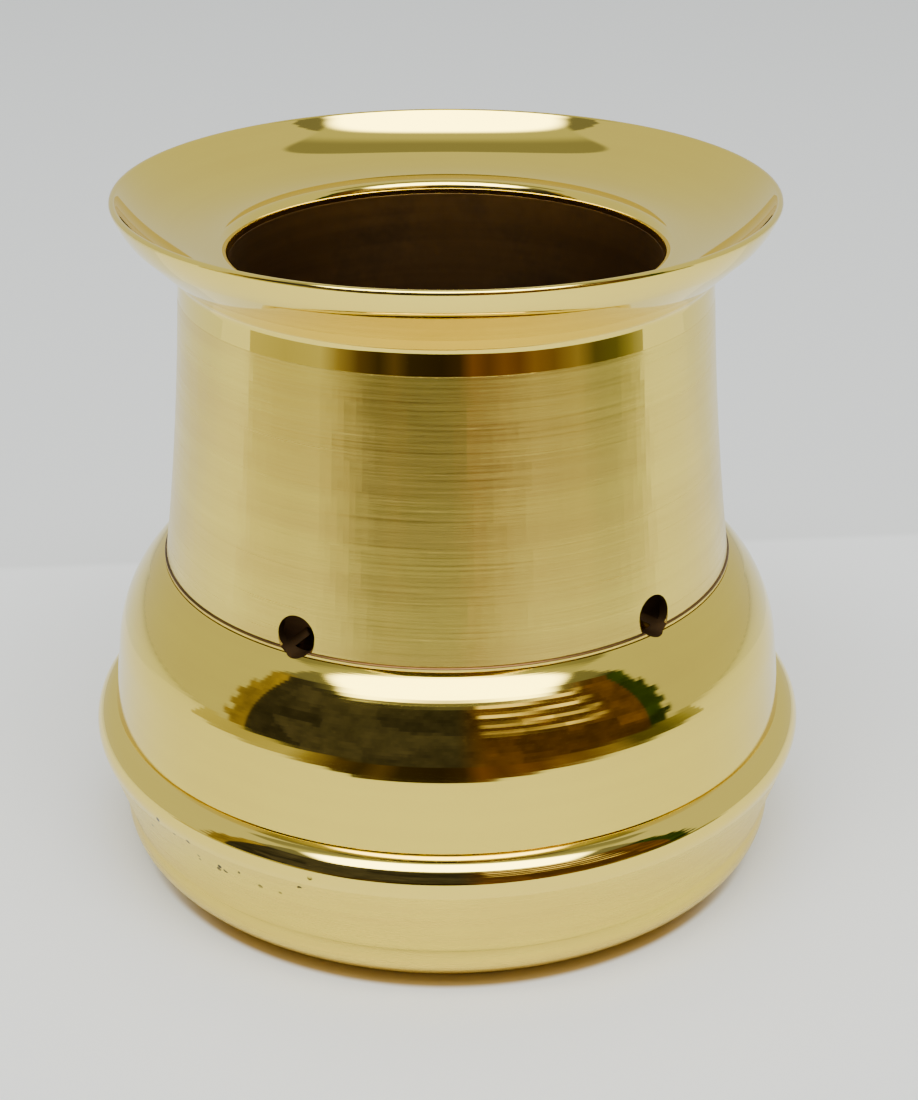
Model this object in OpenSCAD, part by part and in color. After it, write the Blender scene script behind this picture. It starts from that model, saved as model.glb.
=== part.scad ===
// Alcohol spirit stove: a turned brass housing that lifts off its bowl-shaped base,
// with a fuel burner standing loose inside it. Lengths are in millimetres.
// +Z is up, -Y is the front, and the origin is the centre of the foot on the table.

/* [Collar] */
// Outer radius of the flared lip
lip_r = 52.5; // [52:0.1:53.5]
// Height of the lip's top edge
lip_z = 112.4; // [112:0.1:113.4]
// Radius of the mouth, and of the flue below it
mouth_r = 34.5; // [34.2:0.1:34.8]
// Thickness of the lip's rounded edge
lip_edge = 1.1; // [0.9:0.1:1.3]

/* [Barrel] */
// Outer radius of the barrel under the collar
barrel_top_r = 42.85; // [42.6:0.05:43.2]
// Outer radius of the barrel at its foot
barrel_foot_r = 47.2; // [46.8:0.1:47.4]
// Radius of the barrel's gentle waist, seen from the side
barrel_sweep_r = 530; // [450:10:900]
// Thickness of the barrel's wall
barrel_wall = 1.6; // [1.4:0.1:1.8]
// Number of air holes round the barrel's foot
air_hole_count = 5; // [3:1:8]
// Radius of one air hole
air_hole_r = 3.25; // [2.5:0.05:3.4]

/* [Shoulder] */
// Radius of the shoulder's foot, above the bead
shoulder_foot_r = 57.4; // [57.2:0.1:57.5]
// Thickness of the shoulder's wall
shoulder_wall = 2.2; // [2:0.1:2.4]

/* [Base] */
// Outer radius of the bead's crest
bead_r = 60.8; // [60.6:0.1:61]
// Radius of the ring that the base stands on
foot_r = 53; // [52.5:0.1:53.5]
// Depth of the hollow under the base
foot_hollow = 1.2; // [0.8:0.1:1.4]

/* [Burner] */
// Outer radius of the fuel cup
cup_r = 32; // [31.6:0.1:32]
// Thickness of the fuel cup's sheet
cup_sheet = 0.8; // [0.6:0.1:1]
// Radius of the burner's open top
burner_opening_r = 22; // [20:0.5:23]
// Distance between neighbouring gauze wires
gauze_pitch = 2.2; // [2:0.1:4]

/* [Hidden] */

$fn = 160;
sweep_fn = 3600;       // sides of the very large circles, whose arcs are only a few degrees
fit_gap = 0.03;        // radial play between parts that are soldered or pressed together
running_gap = 0.3;     // radial play between parts that lift apart
spigot_gap = 0.05;     // radial play between the collar's spigot and the barrel
edge_chamfer = 0.3;    // broken edge along an open seam
seam_step = 0.1;       // how far the lower of two parts stands back at a seam
slice_root = 0.05;     // how far an arc's slice reaches into the outline that it joins
slice_run = 0.3;       // how far a cut arc runs on past its ends
arc_bite = 0.01;       // how far a cut arc bites past the corner that it starts from

// Heights of the seams, from the table up.
bead_foot_z = 19.9;
bead_crest_z = 21.7;
bead_top_z = 25.62;
baffle_z = 51.4;
baffle_sheet = 0.8;
barrel_foot_z = baffle_z + baffle_sheet;
barrel_top_z = 96.5;

// Flared collar and the liner hanging in it.
mouth_edge_r = 1;
mouth_z = 103.9;           // height of the mouth's rounded edge
dish_sweep_r = 20.1;
dish_rim_angle = 139;      // where the dish leaves the lip's rounded edge
dish_mouth_angle = 110;    // where it meets the mouth's rounded edge
rim_top_angle = 144;
rim_foot_angle = -20;
rim_foot_share = 0.9;      // how far out in the lip's edge its underside starts
underside_sweep_r = 14.5;
underside_tuck = 0.15;     // how far the sweep's end sinks into the straight underside
fillet_r = 1.85;
fillet_root = 0.5;
neck_top = [42.7, 99.5];
underside_bend = [43.32, 101.05];
underside_rim = [50, 107.4];
liner_sheet = 0.8;
liner_r = mouth_r + liner_sheet;
liner_top_z = 101.7;
liner_foot_z = 62;
spigot_foot_z = 88;
spigot_r = barrel_top_r - barrel_wall - spigot_gap;

// Barrel and its air holes.
air_hole_z = 54.3;
air_hole_start = -119.2;   // direction of the first hole, in degrees from +X
drill_depth = 4;           // how far in from the barrel's foot the drill went
baffle_ledge = 0.6;        // how far the baffle stands out past the barrel
baffle_r = barrel_foot_r + baffle_ledge;
baffle_opening_r = 35;

// Shoulder: where its curve starts and where it turns into the straight skirt.
shoulder_start = [47.6, baffle_z];
shoulder_turn = [56, 37];
shoulder_arc_r = 24.6;
shoulder_run = 1;          // how far below the turn the curve's cut starts
shoulder_hollow = [48.6, 48];
shoulder_throat_r = 45;
shoulder_throat_wall = 1;
skirt_lean = (shoulder_foot_r - shoulder_turn.x) / (shoulder_turn.y - bead_top_z);

// Ring inside the shoulder's foot that centres the housing on the base.
register_bore_r = 55.3;
register_r = register_bore_r - running_gap;
register_foot_z = 23.1;
register_top_z = 31;
register_wall = 1.6;

// Base bowl.
bead_crest_arc_r = 3.9;
bead_top_r = 57.3;
bead_seam_r = 60.45;
bowl_wall = 2.4;
bowl_rim_r = 57;
bowl_rim_z = 22.6;
bowl_rim_gap = 0.2;        // clearance over the bowl's rim, inside the bead
bowl_turn = [56.3, 8];
bowl_turn_arc_r = 19;
bowl_floor_z = 4;
bowl_corner_r = 6;
foot_edge_r = 1.2;
foot_edge_lean = 0.15;     // how far out the bowl's side meets the foot's rounded edge
foot_ring_width = 7;
foot_ring_slope = 1;

// Burner seat and its screws.
seat_top_z = 5.4;
seat_ring_z = 10;
seat_ring_wall = 1.4;
seat_inner_r = 26;
seat_outer_r = 42.4;
seat_play = 0.5;           // radial play of the cup in the seat's ring
seat_ring_r = cup_r + seat_play;
screw_count = 3;
screw_ring_r = 39.2;
screw_r = 1.5;
screw_head_r = 2.6;
screw_head_h = 1.6;
screw_slot = 0.7;
screw_foot_z = 2;
screw_tip_gap = 0.1;

// Burner, standing on the seat.
cup_corner_r = 3;
top_z = 48;
top_skirt_z = 43.4;
top_sheet = 0.7;
cup_top_z = top_z - 2 * top_sheet;
top_lip_z = 44.4;
wadding_top_z = 41.8;
wadding_corner_r = 1.5;
wadding_gap = 0.2;
gauze_wire_r = 0.22;
gauze_z = 42.9;
gauze_grip = 1.6;          // width of the gauze's edge held by its ring
gauze_r = burner_opening_r + gauze_grip;
gauze_channel = 0.6;       // thickness of the folded sheet that grips the gauze
gauze_channel_gap = 0.3;   // clearance past the wires' ends
gauze_channel_back = 0.8;
crossing_gap = 0.01;       // clearance between the two layers of wires

brass = [0.85, 0.72, 0.38];
dark_brass = [0.55, 0.44, 0.22];
steel = [0.62, 0.62, 0.6];
cotton = [0.9, 0.87, 0.78];

// ---- Helpers -------------------------------------------------------------

// Angle of the way from a to b.
function heading(a, b) = atan2(b.y - a.y, b.x - a.x);

// Point at an angle on the circle of radius r round c.
function on_circle(c, r, angle) = c + r * [cos(angle), sin(angle)];

// Where a line from p touches the circle of radius r round c; side is 1 or -1.
function touch_point(p, c, r, side) =
    on_circle(c, r, heading(c, p) + side * acos(r / norm(p - c)));

// Centre of the circle of radius r through a and b that bulges on the left of the way.
function arc_centre(a, b, r) =
    let (drop = sqrt(r * r - pow(norm(b - a) / 2, 2)))
    on_circle((a + b) / 2, drop, heading(a, b) - 90);

// Slice of a circle of radius r standing on the chord from a to b, on the left of the
// way. Its root reaches past the chord, into the outline that it joins or cuts, and its
// ends may run on past a and b.
module arc_slice(a, b, r, root = slice_root, run = 0) {
    chord = norm(b - a);
    drop = sqrt(r * r - chord * chord / 4);
    translate(a)
        rotate(heading(a, b))
            intersection() {
                translate([chord / 2, -drop])
                    circle(r, $fn = r > 100 ? sweep_fn : $fn);
                translate([-run, -root])
                    square([chord + 2 * run, root + r]);
            }
}

// Turns each outline of (radius, height) points round the stove's axis.
module turned() {
    for (i = [0 : $children - 1])
        rotate_extrude()
            children(i);
}

// A sheet ring or tube with a plain rectangular section.
module turned_band(inner_r, outer_r, foot_z, top_z) {
    turned()
        translate([inner_r, foot_z])
            square([outer_r - inner_r, top_z - foot_z]);
}

// Drills for the air holes: they were run in after barrel, baffle and shoulder were joined.
module air_hole_drills() {
    for (i = [0 : air_hole_count - 1])
        rotate(air_hole_start + i * 360 / air_hole_count)
            translate([barrel_foot_r - drill_depth, 0, air_hole_z])
                rotate([0, 90, 0])
                    cylinder(h = 2 * drill_depth, r = air_hole_r);
}

// ---- Housing -------------------------------------------------------------

module flared_collar() {
    edge_r = lip_edge / 2;
    rim = [lip_r - edge_r, lip_z - edge_r];
    rim_foot = on_circle(rim, rim_foot_share * edge_r, rim_foot_angle);
    mouth_edge = [mouth_r + mouth_edge_r, mouth_z - mouth_edge_r];
    seam = [barrel_top_r, barrel_top_z + edge_chamfer];
    color(brass)
        difference() {
            turned() {
                polygon([
                    [mouth_r, liner_top_z],
                    [mouth_r, mouth_edge.y],
                    [mouth_edge.x, mouth_z],
                    on_circle(rim, edge_r, rim_top_angle),
                    rim,
                    rim_foot,
                    underside_rim,
                    underside_bend,
                    neck_top,
                    seam,
                    seam - edge_chamfer * [1, 1],
                    [spigot_r, barrel_top_z],
                    [spigot_r, spigot_foot_z],
                    [liner_r + fit_gap, spigot_foot_z],
                    [liner_r + fit_gap, liner_top_z]
                ]);
                translate(rim)
                    circle(edge_r);
                translate(mouth_edge)
                    circle(mouth_edge_r);
                arc_slice(rim_foot, underside_rim - [underside_tuck, 0], underside_sweep_r);
            }
            turned() {
                arc_slice(
                    on_circle(rim, edge_r, dish_rim_angle),
                    on_circle(mouth_edge, mouth_edge_r, dish_mouth_angle),
                    dish_sweep_r,
                    run = slice_run
                );
                arc_slice(
                    neck_top - [arc_bite, 0],
                    underside_bend,
                    fillet_r,
                    root = fillet_root,
                    run = fillet_root
                );
            }
        }
}

module throat_liner() {
    color(dark_brass)
        turned_band(mouth_r, liner_r, liner_foot_z, liner_top_z);
}

module barrel() {
    top = [barrel_top_r, barrel_top_z];
    foot = [barrel_foot_r, barrel_foot_z];
    centre = arc_centre(foot, top, barrel_sweep_r);
    color(brass)
        difference() {
            turned()
                intersection() {
                    difference() {
                        translate(centre)
                            circle(barrel_sweep_r + barrel_wall, $fn = sweep_fn);
                        translate(centre)
                            circle(barrel_sweep_r, $fn = sweep_fn);
                    }
                    translate([0, barrel_foot_z])
                        square([bead_r, barrel_top_z - barrel_foot_z]);
                }
            air_hole_drills();
        }
}

module air_baffle() {
    bevel = baffle_sheet / 4;
    color(dark_brass)
        difference() {
            turned()
                polygon([
                    [baffle_opening_r, baffle_z],
                    [baffle_r - bevel, baffle_z],
                    [baffle_r, baffle_z + bevel],
                    [baffle_r, barrel_foot_z - bevel],
                    [baffle_r - bevel, barrel_foot_z],
                    [baffle_opening_r, barrel_foot_z]
                ]);
            air_hole_drills();
        }
}

module shoulder_dome() {
    foot = [shoulder_foot_r, bead_top_z];
    skirt_rise = baffle_z - shoulder_turn.y;
    color(brass)
        difference() {
            turned()
                difference() {
                    polygon([
                        [shoulder_throat_r, baffle_z],
                        shoulder_turn + skirt_rise * [-skirt_lean, 1],
                        foot + edge_chamfer * [-skirt_lean, 1],
                        foot - [edge_chamfer, 0],
                        foot - [shoulder_wall, 0],
                        shoulder_turn - [shoulder_wall, 0],
                        shoulder_hollow,
                        [shoulder_throat_r, baffle_z - shoulder_throat_wall]
                    ]);
                    difference() {
                        translate([shoulder_throat_r, shoulder_turn.y - shoulder_run])
                            square(skirt_rise + 2 * shoulder_run);
                        translate(arc_centre(shoulder_start, shoulder_turn, shoulder_arc_r))
                            circle(shoulder_arc_r);
                    }
                }
            air_hole_drills();
        }
}

module locating_ring() {
    skirt_r = shoulder_foot_r - shoulder_wall - fit_gap;
    step_z = bead_top_z + seam_step;
    color(dark_brass)
        turned()
            polygon([
                [register_r - register_wall, register_foot_z],
                [register_r - edge_chamfer, register_foot_z],
                [register_r, register_foot_z + edge_chamfer],
                [register_r, step_z],
                [skirt_r - skirt_lean * (step_z - bead_top_z), step_z],
                [skirt_r - skirt_lean * (register_top_z - bead_top_z), register_top_z],
                [register_r - register_wall, register_top_z]
            ]);
}

// ---- Base ----------------------------------------------------------------

module bead_ring() {
    centre = [bead_r - bead_crest_arc_r, bead_crest_z];
    top = [bead_top_r, bead_top_z];
    foot = [bead_seam_r, bead_foot_z];
    color(brass)
        turned() {
            polygon([
                [register_bore_r, bowl_rim_z + bowl_rim_gap],
                [register_bore_r, bead_top_z],
                top,
                touch_point(top, centre, bead_crest_arc_r, -1),
                centre + [bead_crest_arc_r / 2, 0],
                touch_point(foot, centre, bead_crest_arc_r, 1),
                foot,
                [bowl_rim_r + fit_gap, bead_foot_z],
                [bowl_rim_r + fit_gap, bowl_rim_z + bowl_rim_gap]
            ]);
            intersection() {
                translate(centre)
                    circle(bead_crest_arc_r);
                translate([bead_top_r + slice_root, bead_foot_z + slice_root])
                    square([bead_r, bead_top_z - bead_foot_z]);
            }
        }
}

module base_bowl() {
    seam = [bead_seam_r - seam_step, bead_foot_z];
    foot = [foot_r, 0];
    edge = foot + foot_edge_r * [foot_edge_lean, 1];
    corner = [bowl_turn.x - bowl_wall - bowl_corner_r, bowl_floor_z + bowl_corner_r];
    color(brass)
        difference() {
            turned() {
                polygon([
                    [0, foot_hollow],
                    [0, bowl_rim_z],
                    [bowl_rim_r - edge_chamfer, bowl_rim_z],
                    [bowl_rim_r, bowl_rim_z - edge_chamfer],
                    [bowl_rim_r, bead_foot_z],
                    seam,
                    bowl_turn,
                    edge,
                    [foot_r - foot_edge_r, 0],
                    [foot_r - foot_ring_width, 0],
                    [foot_r - foot_ring_width - foot_ring_slope, foot_hollow]
                ]);
                arc_slice(bowl_turn, edge, bowl_turn_arc_r);
                translate([foot_r - foot_edge_r, foot_edge_r])
                    circle(foot_edge_r);
            }
            turned() {
                polygon([
                    [0, bowl_floor_z],
                    [0, bowl_rim_z + 1],
                    [bowl_rim_r - bowl_wall, bowl_rim_z + 1],
                    [bowl_rim_r - bowl_wall, bead_foot_z],
                    [bowl_turn.x - bowl_wall, corner.y],
                    corner,
                    [corner.x, bowl_floor_z]
                ]);
                translate(corner)
                    circle(bowl_corner_r);
            }
            at_screws()
                translate([0, 0, screw_foot_z])
                    cylinder(h = bowl_floor_z, r = screw_r + fit_gap);
        }
}

// Repeats its children at each screw of the burner seat.
module at_screws() {
    for (i = [0 : screw_count - 1])
        rotate(i * 360 / screw_count)
            translate([screw_ring_r, 0, 0])
                children();
}

module burner_seat() {
    color(dark_brass)
        difference() {
            turned()
                polygon([
                    [seat_inner_r, bowl_floor_z],
                    [seat_inner_r, seat_top_z],
                    [seat_ring_r, seat_top_z],
                    [seat_ring_r, seat_ring_z - edge_chamfer],
                    [seat_ring_r + edge_chamfer, seat_ring_z],
                    [seat_ring_r + seat_ring_wall, seat_ring_z],
                    [seat_ring_r + seat_ring_wall, seat_top_z],
                    [seat_outer_r, seat_top_z],
                    [seat_outer_r, bowl_floor_z]
                ]);
            at_screws()
                cylinder(h = seat_ring_z, r = screw_r + fit_gap);
        }
}

module seat_screws() {
    color(dark_brass)
        at_screws()
            difference() {
                union() {
                    translate([0, 0, screw_foot_z + screw_tip_gap])
                        cylinder(h = seat_top_z - screw_foot_z, r = screw_r);
                    translate([0, 0, seat_top_z])
                        cylinder(h = screw_head_h, r = screw_head_r);
                }
                translate([-screw_head_r - 1, -screw_slot / 2, seat_top_z + screw_head_h / 2])
                    cube([2 * screw_head_r + 2, screw_slot, screw_head_h]);
            }
}

// ---- Burner --------------------------------------------------------------

// A drawn cup's solid outline, with a round corner at its foot.
module cup_outline(radius, foot_z, rim_z, corner_r) {
    translate([0, foot_z])
        square([radius - corner_r, rim_z - foot_z]);
    translate([0, foot_z + corner_r])
        square([radius, rim_z - foot_z - corner_r]);
    translate([radius - corner_r, foot_z + corner_r])
        circle(corner_r);
}

module burner_cup() {
    color(brass)
        turned()
            intersection() {
                difference() {
                    cup_outline(cup_r, seat_top_z, cup_top_z, cup_corner_r);
                    cup_outline(cup_r - cup_sheet, seat_top_z + cup_sheet, cup_top_z + 1,
                                cup_corner_r - cup_sheet);
                }
                square([cup_r + 1, cup_top_z]);
            }
}

module burner_top() {
    skirt_r = cup_r + fit_gap;
    roll_r = top_sheet;
    roll_z = top_z - roll_r;
    color(brass)
        turned() {
            translate([skirt_r, top_skirt_z])
                square([top_sheet, roll_z - top_skirt_z]);
            translate([burner_opening_r + roll_r, cup_top_z])
                square([skirt_r - burner_opening_r - roll_r, top_z - cup_top_z]);
            translate([skirt_r, roll_z])
                circle(roll_r);
            translate([burner_opening_r + roll_r, roll_z])
                circle(roll_r);
            translate([burner_opening_r, top_lip_z])
                square([top_sheet, roll_z - top_lip_z]);
        }
}

module burner_wadding() {
    corner_r = wadding_corner_r;
    radius = cup_r - cup_sheet - wadding_gap;
    foot_z = seat_top_z + cup_sheet + wadding_gap / 2;
    color(cotton)
        turned()
            intersection() {
                union() {
                    cup_outline(radius, foot_z, wadding_top_z - corner_r, cup_corner_r);
                    square([radius - corner_r, wadding_top_z]);
                    translate([radius - corner_r, wadding_top_z - corner_r])
                        circle(corner_r);
                }
                translate([0, foot_z])
                    square([cup_r, wadding_top_z - foot_z]);
            }
}

// One layer of parallel wires, each cut to the chord of the round gauze.
module gauze_layer() {
    count = floor(burner_opening_r / gauze_pitch);
    for (i = [-count : count]) {
        half = sqrt(gauze_r * gauze_r - i * i * gauze_pitch * gauze_pitch);
        translate([-half, i * gauze_pitch, 0])
            rotate([0, 90, 0])
                cylinder(h = 2 * half, r = gauze_wire_r, $fn = 16);
    }
}

module burner_gauze() {
    layer_gap = gauze_wire_r + crossing_gap;
    color(steel) {
        translate([0, 0, gauze_z - layer_gap])
            gauze_layer();
        translate([0, 0, gauze_z + layer_gap])
            rotate(90)
                gauze_layer();
    }
}

// Folded channel that grips the gauze's cut edge.
module gauze_ring() {
    back_r = gauze_r + gauze_channel_gap;
    outer_r = gauze_r + gauze_channel_back;
    slot_h = 4 * gauze_wire_r + 10 * crossing_gap;
    color(steel)
        turned()
            difference() {
                translate([burner_opening_r, gauze_z - slot_h / 2 - gauze_channel])
                    square([outer_r - burner_opening_r, slot_h + 2 * gauze_channel]);
                translate([0, gauze_z - slot_h / 2])
                    square([back_r, slot_h]);
            }
}

flared_collar();
throat_liner();
barrel();
air_baffle();
shoulder_dome();
locating_ring();
bead_ring();
base_bowl();
burner_seat();
seat_screws();
burner_cup();
burner_top();
burner_wadding();
burner_gauze();
gauze_ring();
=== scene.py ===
"""Looks of the alcohol spirit stove: turned brass housing and base with a fuel burner inside."""
import math
import random

import bmesh
import bpy
from mathutils import Matrix, Vector
from mathutils.kdtree import KDTree
from mathutils.noise import fractal


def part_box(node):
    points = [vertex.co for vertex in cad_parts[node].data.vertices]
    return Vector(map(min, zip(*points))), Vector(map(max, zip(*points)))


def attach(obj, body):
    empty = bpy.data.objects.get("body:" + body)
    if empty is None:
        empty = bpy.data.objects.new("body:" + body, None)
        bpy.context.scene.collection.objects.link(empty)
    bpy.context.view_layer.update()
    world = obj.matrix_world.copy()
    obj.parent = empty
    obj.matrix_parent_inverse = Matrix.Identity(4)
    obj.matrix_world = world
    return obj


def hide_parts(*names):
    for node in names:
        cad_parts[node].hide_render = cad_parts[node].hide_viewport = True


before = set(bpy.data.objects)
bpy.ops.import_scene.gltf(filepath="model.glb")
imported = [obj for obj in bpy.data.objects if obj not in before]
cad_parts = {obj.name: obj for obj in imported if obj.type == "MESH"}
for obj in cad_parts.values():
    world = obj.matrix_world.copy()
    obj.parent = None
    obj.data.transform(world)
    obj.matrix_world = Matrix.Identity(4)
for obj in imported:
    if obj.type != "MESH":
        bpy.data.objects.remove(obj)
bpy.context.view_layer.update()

MM = 0.001

SEGMENTS = 288                  # round a turned piece
ARC_STEP = math.radians(7)      # along a rounded corner
LEAST_TURN = math.radians(1)    # a corner that turns less isn't rounded
SUPPORT = 0.12 * MM             # supporting loop beside a rounded corner, which keeps flats flat
WELD = 1e-7                     # points closer than this are one
AXIS_R = 0.4 * MM               # how near to the axis a closed bottom's outline comes

# Roundings of corners, from none to soft
SHARP = 0
CRISP = 0.03 * MM
FINE = 0.05 * MM
SEAM = 0.06 * MM
BROKEN = 0.1 * MM
PRESSED = 0.15 * MM
EASED = 0.2 * MM
ROLLED = 0.25 * MM
SOFT = 0.3 * MM


# ---- Places taken from the frame ------------------------------------------

def foot_z(node):
    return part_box(node)[0].z


def top_z(node):
    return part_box(node)[1].z


def outer_r(node):
    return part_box(node)[1].x


COLLAR_FOOT_Z = top_z("barrel")
LIP_R = outer_r("flared_collar")
LIP_Z = top_z("flared_collar")
LINER_R = outer_r("throat_liner")
LINER_TOP_Z = top_z("throat_liner")
BARREL_FOOT_R = outer_r("barrel")
BARREL_FOOT_Z = foot_z("barrel")
SHOULDER_TOP_Z = foot_z("air_baffle")
SHOULDER_FOOT_Z = foot_z("shoulder_dome")
SHOULDER_FOOT_R = outer_r("shoulder_dome")
BEAD_R = outer_r("bead_ring")
BEAD_TOP_Z = top_z("bead_ring")
BEAD_FOOT_Z = foot_z("bead_ring")
BOWL_RIM_Z = top_z("base_bowl")
FOOT_R = 53 * MM


# ---- Outlines and turned meshes -------------------------------------------

def rounded(corners):
    """Closed outline of (r, z) from corners (r, z, rounding), with its flats supported."""
    points = []
    count = len(corners)
    for i, (r, z, rounding) in enumerate(corners):
        here = Vector((r, z))
        before = Vector(corners[i - 1][:2]) - here
        after = Vector(corners[(i + 1) % count][:2]) - here
        points += corner_points(here, before, after, rounding)
    return points


def corner_points(here, before, after, rounding):
    """Points of one rounded corner, from the side of before to the side of after."""
    inward, outward = before.normalized(), after.normalized()
    turn = math.pi - inward.angle(outward)
    if rounding <= 0 or turn < LEAST_TURN:
        return [here]
    reach = min(rounding * math.tan(turn / 2), 0.45 * before.length, 0.45 * after.length)
    radius = reach / math.tan(turn / 2)
    bisector = (inward + outward).normalized()
    centre = here + bisector * math.hypot(reach, radius)
    start = here + inward * reach - centre
    end = here + outward * reach - centre
    side = 1 if start.x * end.y > start.y * end.x else -1
    steps = max(2, math.ceil(turn / ARC_STEP))
    bend = [centre + Matrix.Rotation(side * turn * k / steps, 2) @ start for k in range(steps + 1)]
    lead = min(SUPPORT, 0.3 * (before.length - reach))
    tail = min(SUPPORT, 0.3 * (after.length - reach))
    return [bend[0] + inward * lead, *bend, bend[-1] + outward * tail]


def sweep(a, b, bulge, steps):
    """Corners along an arc from a to b, standing out by bulge on the left of the way."""
    a, b = Vector(a), Vector(b)
    way = b - a
    left = Vector((-way.y, way.x)).normalized()
    half = way.length / 2
    radius = (half * half + bulge * bulge) / (2 * abs(bulge))
    corners = []
    for k in range(1, steps):
        along = 2 * k / steps - 1
        rise = math.sqrt(radius * radius - (along * half) ** 2) - (radius - abs(bulge))
        point = a + way * (along + 1) / 2 + left * math.copysign(rise, bulge)
        corners.append((point.x, point.y, SHARP))
    return corners


def arc(centre, radius, start, end, steps):
    """Corners along part of a circle, from one angle to another in degrees."""
    corners = []
    for k in range(steps + 1):
        angle = math.radians(start + (end - start) * k / steps)
        corners.append((centre[0] + radius * math.cos(angle), centre[1] + radius * math.sin(angle), SHARP))
    return corners


def turned(name, corners):
    """A mesh object turned round the axis from a closed outline, given anticlockwise.

    Its UV map "turned" holds the share of the turn, and the way along the outline in metres.
    """
    outline = rounded(corners)
    count = len(outline)
    lengths = [0.0]
    for i in range(count):
        lengths.append(lengths[-1] + (outline[(i + 1) % count] - outline[i]).length)
    bm = bmesh.new()
    rings = []
    for s in range(SEGMENTS):
        angle = 2 * math.pi * s / SEGMENTS
        rings.append([bm.verts.new((p.x * math.cos(angle), p.x * math.sin(angle), p.y)) for p in outline])
    marks = bm.loops.layers.uv.new("turned")
    for s in range(SEGMENTS):
        here, there = rings[s], rings[(s + 1) % SEGMENTS]
        for i in range(count):
            j = (i + 1) % count
            face = bm.faces.new((here[i], here[j], there[j], there[i]))
            face.smooth = True
            ends = ((s, i), (s, i + 1), (s + 1, i + 1), (s + 1, i))
            for loop, (turn, step) in zip(face.loops, ends):
                loop[marks].uv = (turn / SEGMENTS, lengths[step])
    bmesh.ops.remove_doubles(bm, verts=bm.verts, dist=WELD)
    bmesh.ops.recalc_face_normals(bm, faces=bm.faces)
    return linked(name, bm)


def linked(name, bm):
    """An object in the scene with the bmesh's mesh."""
    mesh = bpy.data.meshes.new(name)
    bm.to_mesh(mesh)
    bm.free()
    obj = bpy.data.objects.new(name, mesh)
    bpy.context.scene.collection.objects.link(obj)
    return obj


def close_middle(obj):
    """Draws the small hole that turning leaves on the axis together."""
    bm = bmesh.new()
    bm.from_mesh(obj.data)
    middle = [v for v in bm.verts if math.hypot(v.co.x, v.co.y) < 1.01 * AXIS_R]
    for v in middle:
        v.co.x = v.co.y = 0
    bmesh.ops.remove_doubles(bm, verts=middle, dist=WELD)
    bm.to_mesh(obj.data)
    bm.free()


def join_rings(bm, rings):
    """Joins rings of vertices to a tube with flat ends."""
    count = len(rings[0])
    for low, high in zip(rings, rings[1:]):
        for k in range(count):
            after = (k + 1) % count
            bm.faces.new((low[k], low[after], high[after], high[k])).smooth = True
    bm.faces.new(reversed(rings[0]))
    bm.faces.new(rings[-1])


# ---- Shader nodes -----------------------------------------------------------

MIX_A, MIX_B, MIX_RESULT = 6, 7, 2    # the colour sockets of a Mix node


def new_material(name):
    """A material with a Principled surface, and its node tree."""
    material = bpy.data.materials.new(name)
    material.use_nodes = True
    return material, material.node_tree


def add(tree, kind, inputs=None, **settings):
    """A new node; each input takes a value, or a socket to link from."""
    node = tree.nodes.new(kind)
    for key, value in settings.items():
        setattr(node, key, value)
    for key, value in (inputs or {}).items():
        if isinstance(value, bpy.types.NodeSocket):
            tree.links.new(value, node.inputs[key])
        else:
            node.inputs[key].default_value = value
    return node


def maths(tree, operation, a, b=0.0, clamp=False):
    node = add(tree, "ShaderNodeMath", {0: a, 1: b}, operation=operation, use_clamp=clamp)
    return node.outputs[0]


def product(tree, first, *others):
    for other in others:
        first = maths(tree, "MULTIPLY", first, other)
    return first


def total(tree, first, *others):
    for other in others:
        first = maths(tree, "ADD", first, other)
    return first


def ramped(tree, value, low, high, to_low=0.0, to_high=1.0, easing="SMOOTHSTEP"):
    """Value taken from one range to another, and kept within it."""
    node = add(tree, "ShaderNodeMapRange",
               {"Value": value, "From Min": low, "From Max": high, "To Min": to_low, "To Max": to_high},
               interpolation_type=easing)
    return node.outputs["Result"]


def noise(tree, vector, scale, detail=3.0, roughness=0.5):
    node = add(tree, "ShaderNodeTexNoise",
               {"Vector": vector, "Scale": scale, "Detail": detail, "Roughness": roughness})
    return node.outputs["Fac"]


def mixed(tree, factor, a, b):
    """Colour a where the factor is 0, and b where it is 1."""
    node = add(tree, "ShaderNodeMix", data_type="RGBA")
    for socket, value in ((node.inputs["Factor"], factor), (node.inputs[MIX_A], a), (node.inputs[MIX_B], b)):
        if isinstance(value, bpy.types.NodeSocket):
            tree.links.new(value, socket)
        else:
            socket.default_value = value
    return node.outputs[MIX_RESULT]


def rgb(r, g, b):
    return (r, g, b, 1.0)


def object_place(tree):
    return add(tree, "ShaderNodeTexCoord").outputs["Object"]


def split(tree, vector):
    """The x, y and z of a vector."""
    return add(tree, "ShaderNodeSeparateXYZ", {"Vector": vector}).outputs


def bumped(tree, surface, height, distance, strength=1.0):
    """Gives a surface a relief, whose heights of 0 and 1 lie the distance apart."""
    bump = add(tree, "ShaderNodeBump", {"Strength": strength, "Distance": distance, "Height": height})
    tree.links.new(bump.outputs[0], surface.inputs["Normal"])


# ---- Brass ------------------------------------------------------------------

BRASS = (0.82, 0.645, 0.115)
DEEP_BRASS = (0.76, 0.595, 0.09)
TARNISH = (0.60, 0.40, 0.09)
# The near-black brass of painted shade, and its darker patches.
SHADE_DARK_BRASS = (0.16, 0.09, 0.035)
SHADE_DARK_STAIN = (0.05, 0.03, 0.015)
PIT_BLACK = (0.004, 0.003, 0.002)

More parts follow.
